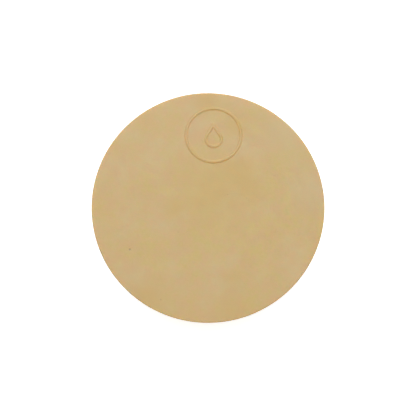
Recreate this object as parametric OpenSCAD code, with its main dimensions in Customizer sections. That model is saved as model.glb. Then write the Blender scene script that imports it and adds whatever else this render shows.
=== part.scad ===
// Shaving soap puck: a flat round cake of hard soap, pressed in one piece,
// with a small raised mark near the edge of its upper face.
// Millimetres. The origin is the centre of the underside, +Z points up through
// the marked face, and +Y points from the centre towards the mark.

/* [Puck] */
// Outside diameter
puck_d = 75; // [58:0.5:82]
// Thickness, from the underside to the marked face
puck_h = 22; // [14:0.5:30]
// Radius of the crisp edge round the marked face
top_edge_r = 0.5; // [0.3:0.1:4]
// Radius of the softer edge round the underside
bottom_edge_r = 1; // [0.3:0.1:4]

/* [Mark] */
// Outside diameter of the ring
ring_d = 19; // [16:0.5:22]
// Gap left between the ring and the puck's edge
ring_gap = 5; // [4:0.5:7]
// How far the mark sits to the right of the puck's centre
mark_shift = 1.8; // [0:0.1:3]
// How far the mark is turned on the face, in degrees
mark_turn = 1.4; // [-10:0.1:10]
// Width of the drop inside the ring
drop_w = 6.1; // [5.5:0.1:7]
// Height of the drop inside the ring
drop_h = 8.8; // [8:0.1:10]

/* [Raised lines] */
// Height of the lines above the face
relief = 0.25; // [0.2:0.05:0.8]
// Width of a line where it leaves the face
line_w = 1.1; // [0.9:0.1:1.6]
// Width of the flat along the top of a line
crest_w = 0.35; // [0.2:0.05:0.8]

/* [Hidden] */
$fn = 144;

puck_r = puck_d / 2;
// The lines go on this far below the face, so that they and the puck are one solid.
root = 1;
// From the puck's centre to the mark's, along Y
mark_y = puck_r - ring_gap - ring_d / 2;
// Radius of the middle of the ring's line
ring_mid_r = (ring_d - line_w) / 2;
// Radius of the middle of the line round the drop's belly
belly_mid_r = (drop_w - line_w) / 2;
// From the middle of the belly to the drop's tip
tip_reach = drop_h - drop_w / 2;
// Half of the angle at the tip, where both sides are tangents of the belly
tip_half = asin(drop_w / 2 / tip_reach);
// Length of a side, from where it leaves the belly to a little past the tip
side_l = tip_reach * cos(tip_half) + line_w;

// Half of the puck's section, from its axis outwards
module puck_section() {
    wall_h = puck_h - top_edge_r - bottom_edge_r;
    translate([0, bottom_edge_r]) square([puck_r, wall_h]);
    translate([0, bottom_edge_r]) square([puck_r - top_edge_r, wall_h + top_edge_r]);
    square([puck_r - bottom_edge_r, wall_h + bottom_edge_r]);
    translate([puck_r - top_edge_r, puck_h - top_edge_r]) circle(top_edge_r);
    translate([puck_r - bottom_edge_r, bottom_edge_r]) circle(bottom_edge_r);
}

// Section of a raised line: a flat crest between two sloping sides, on a root
module line_section() {
    polygon([
        [-line_w / 2, -root],
        [line_w / 2, -root],
        [line_w / 2, 0],
        [crest_w / 2, relief],
        [-crest_w / 2, relief],
        [-line_w / 2, 0]
    ]);
}

module ring() {
    rotate_extrude() translate([ring_mid_r, 0]) line_section();
}

// Right-hand side of the drop, cut off on the drop's middle plane to mitre with the left
module drop_side() {
    intersection() {
        rotate(tip_half) translate([belly_mid_r, side_l, 0]) rotate([90, 0, 0])
            linear_extrude(side_l) line_section();
        translate([0, 0, -2 * root]) cube([drop_w, 2 * drop_h, 4 * root]);
    }
}

// Outline of a drop whose belly is centred on the origin and whose tip points to +Y
module drop() {
    rotate(180 - tip_half) rotate_extrude(angle = 180 + 2 * tip_half)
        translate([belly_mid_r, 0]) line_section();
    drop_side();
    mirror([1, 0, 0]) drop_side();
}

// The mark, with the drop standing in the middle of the ring
module raised_mark() {
    ring();
    translate([0, (drop_w / 2 - tip_reach) / 2, 0]) drop();
}

// The puck and its mark are one piece of soap.
module soap_puck() {
    color([0.80, 0.69, 0.49]) union() {
        rotate_extrude() puck_section();
        translate([mark_shift, mark_y, puck_h]) rotate(mark_turn) raised_mark();
    }
}

soap_puck();
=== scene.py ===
"""Looks of a shaving soap puck: one pressed cake of soap on a pale floor, seen from above."""

import math

import bmesh
import bpy
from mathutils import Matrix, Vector, noise
from mathutils.geometry import delaunay_2d_cdt


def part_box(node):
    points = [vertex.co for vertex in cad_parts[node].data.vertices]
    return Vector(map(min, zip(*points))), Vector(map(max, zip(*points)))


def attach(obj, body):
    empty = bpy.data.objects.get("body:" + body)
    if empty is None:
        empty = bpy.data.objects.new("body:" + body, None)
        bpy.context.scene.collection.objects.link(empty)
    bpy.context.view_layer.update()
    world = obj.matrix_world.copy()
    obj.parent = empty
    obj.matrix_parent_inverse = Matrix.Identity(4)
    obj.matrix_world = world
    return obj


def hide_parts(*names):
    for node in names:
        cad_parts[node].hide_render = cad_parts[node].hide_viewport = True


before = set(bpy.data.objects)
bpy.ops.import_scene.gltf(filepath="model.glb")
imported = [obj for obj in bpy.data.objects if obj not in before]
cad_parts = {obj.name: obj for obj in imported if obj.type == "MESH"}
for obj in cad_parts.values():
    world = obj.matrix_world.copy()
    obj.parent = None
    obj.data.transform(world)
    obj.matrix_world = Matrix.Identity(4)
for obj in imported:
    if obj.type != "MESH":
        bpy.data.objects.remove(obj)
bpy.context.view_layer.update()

MM = 0.001
LOW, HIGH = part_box("soap_puck")

# Raised lines of the mark, as in the CAD model
RELIEF = 0.25 * MM
LINE_W = 1.1 * MM
CREST_W = 0.35 * MM

# The puck. The fine seam round its wall stays just inside the CAD model's radius, and the
# marked face lies so far below the CAD model's that its waves stay inside it too.
SEAM = 0.07 * MM
SEAM_HALF_W = 0.4 * MM
CLEARANCE = 0.02 * MM
WALL_R = HIGH.x - SEAM - CLEARANCE
FACE_Z = HIGH.z - RELIEF
FACE_DROP = 0.04 * MM
TOP_EDGE_R = 0.35 * MM
BOTTOM_EDGE_R = 1.0 * MM
FACE_R = WALL_R - TOP_EDGE_R
BASE_R = WALL_R - BOTTOM_EDGE_R
BASE_HOLLOW = 0.16 * MM
SEAM_Z = FACE_Z / 2

# The mark: a ring, and a drop in the middle of it
RING_D = 19 * MM
RING_GAP = 5 * MM
MARK_X = 1.8 * MM
MARK_Y = HIGH.x - RING_GAP - RING_D / 2
MARK_TURN = math.radians(1.4)
RING_MID_R = (RING_D - LINE_W) / 2
DROP_W = 6.1 * MM
DROP_H = 8.8 * MM
BELLY_MID_R = (DROP_W - LINE_W) / 2
TIP_REACH = DROP_H - DROP_W / 2
TIP_HALF = math.asin(DROP_W / 2 / TIP_REACH)
BELLY_Y = (DROP_W / 2 - TIP_REACH) / 2

# Mesh: points round the puck, and the steps between points on its faces and along its lines
AROUND = 288
FACE_STEP = 0.85 * MM
BASE_STEP = 1.6 * MM
LINE_STEP = 0.3 * MM
# From the rim of each face in to its first ring of points, and in to its plain net
FACE_RING_IN, FACE_NET_IN = 0.25 * MM, 0.8 * MM
BASE_RING_IN, BASE_NET_IN = 0.4 * MM, 1.2 * MM
# Rows of points beside the middle of a raised line, by their distance from it
LINE_ROWS = [x * MM for x in (0, 0.1, 0.18, 0.26, 0.34, 0.42, 0.5, 0.6, 0.75, 1.0)]
# Rows of points over a rounded edge, and up the wall
EDGE_ROWS = 7
WALL_ROWS = 16

# Pinholes in the marked face: place, radius and depth
PINHOLES = [
    [x * MM for x in hole]
    for hole in (
        (-24.8, -14.4, 0.45, 0.08),
        (-14.8, -30.2, 0.35, 0.04),
        (6.3, 3.3, 0.35, 0.03),
        (12.4, 2.1, 0.30, 0.02),
        (-9.5, -9.0, 0.30, 0.02),
    )
]
# A pinhole as deep as this gets the whole dark tone round its middle, and a shallower one less.
DARKEST_PINHOLE_DEPTH = 0.1 * MM
# Yellower patches in the soap: place on the marked face, radius and strength
PATCHES = [
    (x * MM, y * MM, radius * MM, strength)
    for x, y, radius, strength in (
        (4, 5, 20, 0.7),
        (-1, 3, 7, 0.7),
        (10.5, 10.5, 7, 0.9),
        (14, 4, 7, 0.5),
        (-11, -1.5, 6, 0.8),
        (9.5, 26, 6, 0.7),
        (0, 35, 9, 0.7),
        (7.5, -24, 6, 0.5),
        (-19, -30, 10, 0.7),
        (7, -34, 9, 0.6),
    )
]
# Painted light: paler patches on the right and upper right of the marked face, in place of the light
# that falls more on that side; in the same terms
PAINTED_LIGHT_PATCHES = [
    (35 * MM, 5 * MM, 14 * MM, 0.7),
    (25 * MM, 25 * MM, 13 * MM, 0.7),
]
# Nicks in the top edge: where in degrees, half-length along the edge and depth
NICKS = [(205, 0.9 * MM, 0.14 * MM), (318, 0.6 * MM, 0.1 * MM), (64, 0.8 * MM, 0.08 * MM)]

# Share of the view's width that the marked face fills, the camera's lean from the vertical in
# degrees, and the point of the face in the middle of the view
FACE_SHARE = 0.5616
LEAN = 9.3
AIM_Y = -1.1 * MM
# Strength of the light that comes from the room on all sides, of the white that shows
# behind the puck, and of the floor's own glow
ROOM_LIGHT = 0.22
BACKDROP_LIGHT = 1.05
FLOOR_GLOW = 0.68


def smooth(low, high, x):
    """0 below low, 1 above high, and a smooth step between."""
    t = min(max((x - low) / (high - low), 0), 1)
    return t * t * (3 - 2 * t)


def uneven(point, size):
    """Smooth noise from about -1 to 1, with lumps of that size, at a point."""
    return noise.noise(Vector(point) / size)


def polar(radius, angle):
    return radius * math.cos(angle), radius * math.sin(angle)


# ---- The marked face --------------------------------------------------------------------

def to_mark(x, y):
    """A point of the face in the mark's own axes, from the middle of its ring."""
    x, y = x - MARK_X, y - MARK_Y
    c, s = math.cos(MARK_TURN), math.sin(MARK_TURN)
    return x * c + y * s, y * c - x * s


def from_mark(u, v):
    c, s = math.cos(MARK_TURN), math.sin(MARK_TURN)
    return MARK_X + u * c - v * s, MARK_Y + u * s + v * c


def ring_offset(u, v):
    """How far a point of the mark is outside the middle of the ring's line."""
    return math.hypot(u, v) - RING_MID_R


def drop_offset(u, v):
    """How far a point of the mark is outside the middle of the drop's line."""
    u, v = abs(u), v - BELLY_Y
    c, s = math.cos(TIP_HALF), math.sin(TIP_HALF)
    if v * c > u * s:  # beside a straight side
        return u * c + v * s - BELLY_MID_R
    return math.hypot(u, v) - BELLY_MID_R


def line_offset(x, y):
    """Distance of a point of the face from the middle of the nearest raised line."""
    u, v = to_mark(x, y)
    return min(abs(ring_offset(u, v)), abs(drop_offset(u, v)))


def face_height(x, y):
    """Height of the marked face: nearly flat, with the raised lines and the pinholes."""
    long_wave = 0.02 * MM * uneven((x, y, 0.3), 17 * MM)
    short_wave = 0.007 * MM * uneven((x, y, 0.4), 6 * MM)
    worn = 0.92 + 0.08 * uneven((x, y, 0.2), 2.5 * MM)
    raised = 1 - smooth(CREST_W * 0.3, LINE_W * 0.56, line_offset(x, y))
    holes = sum(
        depth * (1 - smooth(radius * 0.25, radius, math.hypot(x - hx, y - hy)))
        for hx, hy, radius, depth in PINHOLES
    )
    return FACE_Z - FACE_DROP + (long_wave + short_wave) + RELIEF * worn * raised - holes


def ring_loop(offset):
    radius = RING_MID_R + offset
    count = round(2 * math.pi * radius / LINE_STEP)
    return [from_mark(*polar(radius, 2 * math.pi * i / count)) for i in range(count)]


def drop_loop(offset):
    """The drop's outline at that offset: up its right side, down its left, round its belly."""
    radius = BELLY_MID_R + offset
    tip = Vector((0, radius / math.sin(TIP_HALF)))
    right = Vector(polar(radius, TIP_HALF))
    left = Vector((-right.x, right.y))
    on_side = max(3, round((tip - right).length / LINE_STEP))
    on_belly = round(radius * (math.pi + 2 * TIP_HALF) / LINE_STEP)
    loop = [right.lerp(tip, i / on_side) for i in range(on_side)]
    loop += [tip.lerp(left, i / on_side) for i in range(on_side)]
    for i in range(on_belly):
        angle = math.pi - TIP_HALF + (math.pi + 2 * TIP_HALF) * i / on_belly
        loop.append(Vector(polar(radius, angle)))
    return [from_mark(p.x, p.y + BELLY_Y) for p in loop]


def pinhole_loops():
    loops = []
    for x, y, radius, _ in PINHOLES:
        for share in (0.25, 0.5, 0.75, 1.05):
            ring = [polar(share * radius, 2 * math.pi * i / 14) for i in range(14)]
            loops.append([(x + dx, y + dy) for dx, dy in ring])
    return loops


def face_loops():
    loops = [circle(FACE_R - FACE_RING_IN)]
    for row in LINE_ROWS:
        for offset in {row, -row}:
            loops += [ring_loop(offset), drop_loop(offset)]
    return loops + pinhole_loops()


def clear_of_lines(x, y):
    """True where the plain net of the marked face may have a point."""
    if line_offset(x, y) < LINE_ROWS[-1] + 0.4 * FACE_STEP:
        return False
    return all(math.hypot(x - hx, y - hy) > radius * 1.7 for hx, hy, radius, _ in PINHOLES)


# ---- The mesh ---------------------------------------------------------------------------

def circle(radius):
    return [polar(radius, 2 * math.pi * i / AROUND) for i in range(AROUND)]


def net(radius, step):
    """Points of an even three-way net inside a circle."""
    points = []
    rows = int(radius / (step * math.sin(math.radians(60))))
    for row in range(-rows, rows + 1):
        y = row * step * math.sin(math.radians(60))
        for column in range(-int(radius / step) - 1, int(radius / step) + 2):
            x = (column + 0.5 * (row % 2)) * step
            if math.hypot(x, y) < radius:
                points.append((x, y))
    return points


def add_disc(mesh, radius, loops, points, height, up):
    """Fills a circle with triangles that follow the loops, at the height of each point."""
    edges, flat = [], []
    for loop in [circle(radius), *loops]:
        first = len(flat)
        flat += loop
        edges += [(first + i, first + (i + 1) % len(loop)) for i in range(len(loop))]
    flat += points
    tolerance = 1e-5
    found = delaunay_2d_cdt([Vector(p) / MM for p in flat], edges, [], 0, tolerance)
    verts = [mesh.verts.new((p.x * MM, p.y * MM, height(p.x * MM, p.y * MM))) for p in found[0]]
    for corners in found[2]:
        corners = corners if up else list(reversed(corners))
        mesh.faces.new([verts[i] for i in corners])


def base_height(x, y):
    """Height of the underside: it rests on its outer part and is slightly hollow inside."""
    hollow = BASE_HOLLOW * (1 - smooth(0.35, 0.95, math.hypot(x, y) / BASE_R))
    return LOW.z + hollow + 0.02 * MM * (1 + uneven((x, y, 0.7), 9 * MM))


def nick(angle):
    """How much of the top edge is missing at that angle round the puck."""
    depth = 0
    for degrees, half_length, deepest in NICKS:
        turn = math.remainder(angle - math.radians(degrees), 2 * math.pi)
        depth += deepest * (1 - smooth(0.1, 1, abs(turn) * WALL_R / half_length))
    return depth


def wall_radius(angle, z):
    """Radius of the wall: a little uneven, with the die's seam round its middle."""
    x, y = polar(WALL_R, angle)
    wave = 0.03 * MM * (uneven((x, y, z), 11 * MM) - 1)
    seam = SEAM * (1 - smooth(0.05, 1, abs(z - SEAM_Z) / SEAM_HALF_W))
    return WALL_R + wave + seam * (0.8 + 0.2 * uneven((x, y, 0), 3 * MM))


def wall_levels():
    """Heights of the rows of points up the wall, closer together at the seam."""
    top, bottom = FACE_Z - TOP_EDGE_R, LOW.z + BOTTOM_EDGE_R
    levels = [top + (bottom - top) * i / WALL_ROWS for i in range(WALL_ROWS + 1)]
    levels = [z for z in levels if abs(z - SEAM_Z) > 2 * SEAM_HALF_W]
    levels += [SEAM_Z + x * MM for x in (-0.6, -0.4, -0.25, -0.12, 0, 0.12, 0.25, 0.4, 0.6)]
    return sorted(levels, reverse=True)


def side_rows():
    """Rows of points from the marked face's rim, over the edge, down the wall and under."""
    angles = [2 * math.pi * i / AROUND for i in range(AROUND)]
    rows = [[(*polar(FACE_R, a), face_height(*polar(FACE_R, a))) for a in angles]]
    for step in range(1, EDGE_ROWS):
        over = math.radians(90) * step / EDGE_ROWS
        row = []
        for rim, a in zip(rows[0], angles):
            out = (wall_radius(a, FACE_Z) - FACE_R) * math.sin(over) - nick(a) * math.sin(over)
            down = (rim[2] - FACE_Z + TOP_EDGE_R) * (1 - math.cos(over)) + nick(a) * math.sin(2 * over)
            row.append((*polar(FACE_R + out, a), rim[2] - down))
        rows.append(row)
    for z in wall_levels():
        rows.append([(*polar(wall_radius(a, z), a), z) for a in angles])
    for step in range(1, EDGE_ROWS):
        over = math.radians(90) * (1 - step / EDGE_ROWS)
        row = []
        for a in angles:
            out = (wall_radius(a, BOTTOM_EDGE_R) - BASE_R) * math.sin(over)
            rise = BOTTOM_EDGE_R * (1 - math.cos(over))
            row.append((*polar(BASE_R + out, a), base_height(*polar(BASE_R, a)) + rise))
        rows.append(row)
    rows.append([(*polar(BASE_R, a), base_height(*polar(BASE_R, a))) for a in angles])
    return rows


def add_side(mesh):
    rows = [[mesh.verts.new(p) for p in row] for row in side_rows()]
    for upper, lower in zip(rows, rows[1:]):
        for i in range(AROUND):
            j = (i + 1) % AROUND
            mesh.faces.new([upper[i], lower[i], lower[j], upper[j]])


def make_soap():
    """The cake of soap: its marked face, its side and its underside, welded into one skin."""
    mesh = bmesh.new()
    face_net = [p for p in net(FACE_R - FACE_NET_IN, FACE_STEP) if clear_of_lines(*p)]
    add_disc(mesh, FACE_R, face_loops(), face_net, face_height, up=True)
    base_net = net(BASE_R - BASE_NET_IN, BASE_STEP)
    base_loops = [circle(BASE_R - BASE_RING_IN)]
    add_disc(mesh, BASE_R, base_loops, base_net, base_height, up=False)
    add_side(mesh)
    bmesh.ops.remove_doubles(mesh, verts=mesh.verts, dist=0.002 * MM)
    data = bpy.data.meshes.new("soap_cake")
    mesh.to_mesh(data)
    mesh.free()
    data.shade_smooth()
    soap = bpy.data.objects.new("soap_cake", data)
    bpy.context.scene.collection.objects.link(soap)
    return soap


# ---- Materials --------------------------------------------------------------------------

def linear(red, green, blue):
    """A screen colour, 0 to 255, as Blender's linear RGBA."""
    values = [c / 255 for c in (red, green, blue)]
    values = [c / 12.92 if c <= 0.04045 else ((c + 0.055) / 1.055) ** 2.4 for c in values]
    return (*values, 1)


class Nodes:
    """A material's node tree, with short calls for the nodes that are used here."""

    def __init__(self, name):
        self.material = bpy.data.materials.new(name)
        self.material.use_nodes = True
        self.tree = self.material.node_tree
        self.shader = self.tree.nodes["Principled BSDF"]

    def add(self, kind, settings=(), **inputs):
        node = self.tree.nodes.new(kind)
        for name, value in dict(settings).items():
            setattr(node, name, value)
        for name, value in inputs.items():
            self.set(node, name.replace("_", " "), value)
        return node

    def set(self, node, name, value):
        """Sets an input, by name or number, to a value, or links it to a node's output."""
        if isinstance(value, bpy.types.NodeSocket):
            self.tree.links.new(value, node.inputs[name])
        else:
            node.inputs[name].default_value = value

    def noise(self, place, size, detail=2, roughness=0.5):
        """Cloudy noise from 0 to 1 with features of that size."""
        node = self.add(
            "ShaderNodeTexNoise",
            Vector=place,
            Scale=1 / size,
            Detail=detail,
            Roughness=roughness,
        )
        return node.outputs["Fac"]

    def remap(self, value, low, high, to_low=0.0, to_high=1.0):
        """Stretches low to high onto to_low to to_high, clamped."""
        node = self.add("ShaderNodeMapRange", {"interpolation_type": "SMOOTHSTEP"}, Value=value)
        limits = {"From Min": low, "From Max": high, "To Min": to_low, "To Max": to_high}
        for name, number in limits.items():
            self.set(node, name, number)
        return node.outputs["Result"]

    def mix(self, share, first, second):
        """The first colour where share is 0 and the second where it is 1."""
        node = self.add("ShaderNodeMix", {"data_type": "RGBA"})
        # Inputs 6 and 7 and output 2 are the colours: the node's other data types use the
        # same names.
        for number, value in ((0, share), (6, first), (7, second)):
            self.set(node, number, value)
        return node.outputs[2]

    def near(self, place, point, radius):
        """1 at that point, falling smoothly to 0 at that distance from it."""
        node = self.add("ShaderNodeVectorMath", {"operation": "DISTANCE"})
        self.set(node, 0, place)
        self.set(node, 1, point)
        return self.remap(node.outputs["Value"], 0.0, radius, 1.0, 0.0)

    def stretched(self, place, factors):
        """The place with its axes scaled by those factors, which draws a noise out along them."""
        node = self.add("ShaderNodeVectorMath", {"operation": "MULTIPLY"})
        self.set(node, 0, place)
        self.set(node, 1, factors)
        return node.outputs["Vector"]

    def upright(self):
        """1 on a wall, 0 on a level face."""
        normal = self.add("ShaderNodeTexCoord").outputs["Normal"]
        split = self.add("ShaderNodeSeparateXYZ", Vector=normal)
        return self.remap(self.maths("ABSOLUTE", split.outputs["Z"]), 0.2, 0.8, 1.0, 0.0)

    def maths(self, operation, first, second=0.0):
        node = self.add("ShaderNodeMath", {"operation": operation})
        self.set(node, 0, first)
        self.set(node, 1, second)
        return node.outputs[0]

    def bump(self, height, strength, distance, below=None):
        node = self.add("ShaderNodeBump", Height=height, Strength=strength, Distance=distance)
        if below is not None:
            self.set(node, "Normal", below)
        return node.outputs["Normal"]


def soap_colour(n, place):
    """Tan, with yellower, paler and pinker clouds, fine grain, yellower patches, painted light on the
    right and darker pinholes.
    """
    yellow, pale, pink = linear(188, 162, 90), linear(190, 164, 111), linear(196, 159, 111)
    grain_tone, pinhole_dark_tone = linear(203, 178, 128), linear(140, 120, 84)
    # The first set's yellower tone is the soap's own; the second set's paler tone is painted light on
    # the right and upper right of the face
    patch_tones = ((PATCHES, linear(189, 158, 92)), (PAINTED_LIGHT_PATCHES, linear(190, 165, 117)))
    clouds = n.remap(n.noise(place, 16 * MM, 5, 0.7), 0.35, 0.65)
    colour = n.mix(clouds, yellow, pale)
    blush = n.remap(n.noise(place, 3 * MM, 3, 0.7), 0.35, 0.65)
    colour = n.mix(n.maths("MULTIPLY", blush, 0.7), colour, pink)
    grain = n.remap(n.noise(place, 0.7 * MM, 3), 0.3, 0.7)
    colour = n.mix(n.maths("MULTIPLY", grain, 0.1), colour, grain_tone)
    for patches, tone in patch_tones:
        for x, y, radius, strength in patches:
            patch = n.maths("MULTIPLY", n.near(place, (x, y, FACE_Z), radius), strength)
            colour = n.mix(patch, colour, tone)
    # Each pinhole is darker round its middle, the more so the deeper it is
    for x, y, radius, depth in PINHOLES:
        darkening = n.maths("MULTIPLY", n.near(place, (x, y, FACE_Z), 1.2 * radius), depth / DARKEST_PINHOLE_DEPTH)
        colour = n.mix(darkening, colour, pinhole_dark_tone)
    return colour


def soap_normal(n, place):
    """Soft lumps, faint upright drag marks on the wall from the die, and a fine grain."""
    lumps = n.bump(n.noise(place, 2.2 * MM, 3), 0.15, 0.05 * MM)
    drawn = n.noise(n.stretched(place, (1, 1, 0.05)), 0.8 * MM, 3, 0.6)
    drag = n.bump(n.maths("MULTIPLY", drawn, n.upright()), 0.6, 0.08 * MM, lumps)
    return n.bump(n.noise(place, 0.25 * MM, 2), 0.3, 0.01 * MM, drag)


def soap_material():
    """Hard tan soap with a low sheen, which lets light a little way in."""
    n = Nodes("soap")
    place = n.add("ShaderNodeTexCoord").outputs["Object"]
    n.set(n.shader, "Base Color", soap_colour(n, place))
    n.set(n.shader, "Roughness", n.remap(n.noise(place, 3 * MM, 4), 0.3, 0.7, 0.44, 0.56))
    n.set(n.shader, "IOR", 1.55)
    n.shader.subsurface_method = "BURLEY"
    n.set(n.shader, "Subsurface Weight", 1.0)
    n.set(n.shader, "Subsurface Radius", (0.8, 0.3, 0.08))
    n.set(n.shader, "Subsurface Scale", 3.0 * MM)
    n.set(n.shader, "Normal", soap_normal(n, place))
    return n.material


def floor_material():
    """A pale surface that glows a little, like a light table, so that shadows stay faint."""
    n = Nodes("floor")
    n.set(n.shader, "Base Color", (0.8, 0.8, 0.8, 1))
    n.set(n.shader, "Roughness", 0.9)
    n.set(n.shader, "Specular IOR Level", 0.0)
    n.set(n.shader, "Emission Color", (1, 1, 1, 1))
    n.set(n.shader, "Emission Strength", FLOOR_GLOW)
    return n.material


# ---- The studio -------------------------------------------------------------------------

def make_floor():
    mesh = bmesh.new()
    bmesh.ops.create_grid(mesh, x_segments=1, y_segments=1, size=1.2)
    data = bpy.data.meshes.new("floor")
    mesh.to_mesh(data)
    mesh.free()
    data.materials.append(floor_material())
    floor = bpy.data.objects.new("floor", data)
    floor.location.z = LOW.z
    bpy.context.scene.collection.objects.link(floor)


def add_light(name, azimuth, elevation, distance, size, power):
    """A square soft box that faces the puck. Azimuth is counted from +X towards +Y."""
    light = bpy.data.lights.new(name, "AREA")
    light.size = size
    light.energy = power
    lamp = bpy.data.objects.new(name, light)
    a, e = math.radians(azimuth), math.radians(elevation)
    away = Vector((math.cos(a) * math.cos(e), math.sin(a) * math.cos(e), math.sin(e)))
    lamp.location = Vector((0, 0, FACE_Z)) + away * distance
    lamp.rotation_euler = away.to_track_quat("Z", "Y").to_euler()
    bpy.context.scene.collection.objects.link(lamp)


def make_world():
    """A pale room: what shows behind the puck is whiter than the light that it gives."""
    world = bpy.data.worlds.new("room")
    bpy.context.scene.world = world
    world.use_nodes = True
    tree = world.node_tree
    background = tree.nodes["Background"]
    background.inputs["Color"].default_value = (1, 1, 1, 1)
    path = tree.nodes.new("ShaderNodeLightPath")
    strength = tree.nodes.new("ShaderNodeMapRange")
    strength.inputs["To Min"].default_value = ROOM_LIGHT
    strength.inputs["To Max"].default_value = BACKDROP_LIGHT
    tree.links.new(path.outputs["Is Camera Ray"], strength.inputs["Value"])
    tree.links.new(strength.outputs["Result"], background.inputs["Strength"])


def make_camera():
    """Nearly straight above the marked face, which fills a little over half of the view."""
    data = bpy.data.cameras.new("camera")
    data.lens = 58
    data.clip_start, data.clip_end = 0.01, 20
    camera = bpy.data.objects.new("camera", data)
    lean = math.radians(LEAN)
    back = Vector((0, -math.sin(lean), math.cos(lean)))
    distance = WALL_R / (FACE_SHARE * math.tan(data.angle / 2))
    camera.location = Vector((0, AIM_Y, FACE_Z)) + back * distance
    camera.rotation_mode = "QUATERNION"
    camera.rotation_quaternion = back.to_track_quat("Z", "Y")
    bpy.context.scene.collection.objects.link(camera)
    bpy.context.scene.camera = camera


make_camera()
make_world()
make_floor()
add_light("key", 90, 66, 2.3, 2.8, 65.6)
add_light("low", 92, 20, 2.6, 1.2, 8)
bpy.context.scene.view_settings.view_transform = "Standard"

soap = make_soap()
soap.data.materials.append(soap_material())
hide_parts("soap_puck")
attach(soap, "root")
